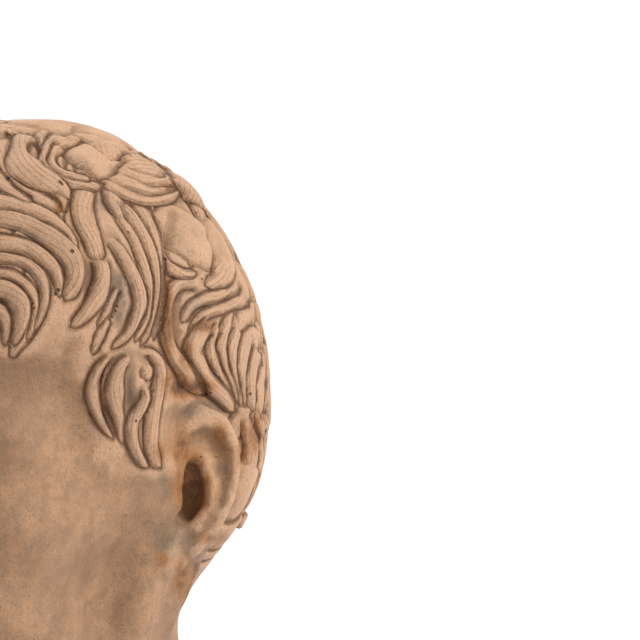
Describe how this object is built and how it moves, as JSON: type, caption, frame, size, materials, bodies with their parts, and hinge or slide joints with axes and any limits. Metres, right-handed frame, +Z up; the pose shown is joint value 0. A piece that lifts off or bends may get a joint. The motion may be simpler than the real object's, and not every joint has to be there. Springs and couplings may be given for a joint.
{
  "type": "earthenware bust",
  "caption": "Life-size earthenware bust in the classical manner, with short curling hair, bare neck and upper chest, cut flat below.",
  "frame": {"origin": "on the flat underside, straight below the middle of the head between the ears", "axes": "+Z up, -Y the way the face looks, +X towards the figure's left"},
  "size_m": [0.25, 0.2231, 0.3715],
  "materials": {
    "earthenware": "fired clay, dull satin, stained in its hollows"
  },
  "bodies": {
    "root": {"bust": "earthenware"}
  },
  "joints": []
}
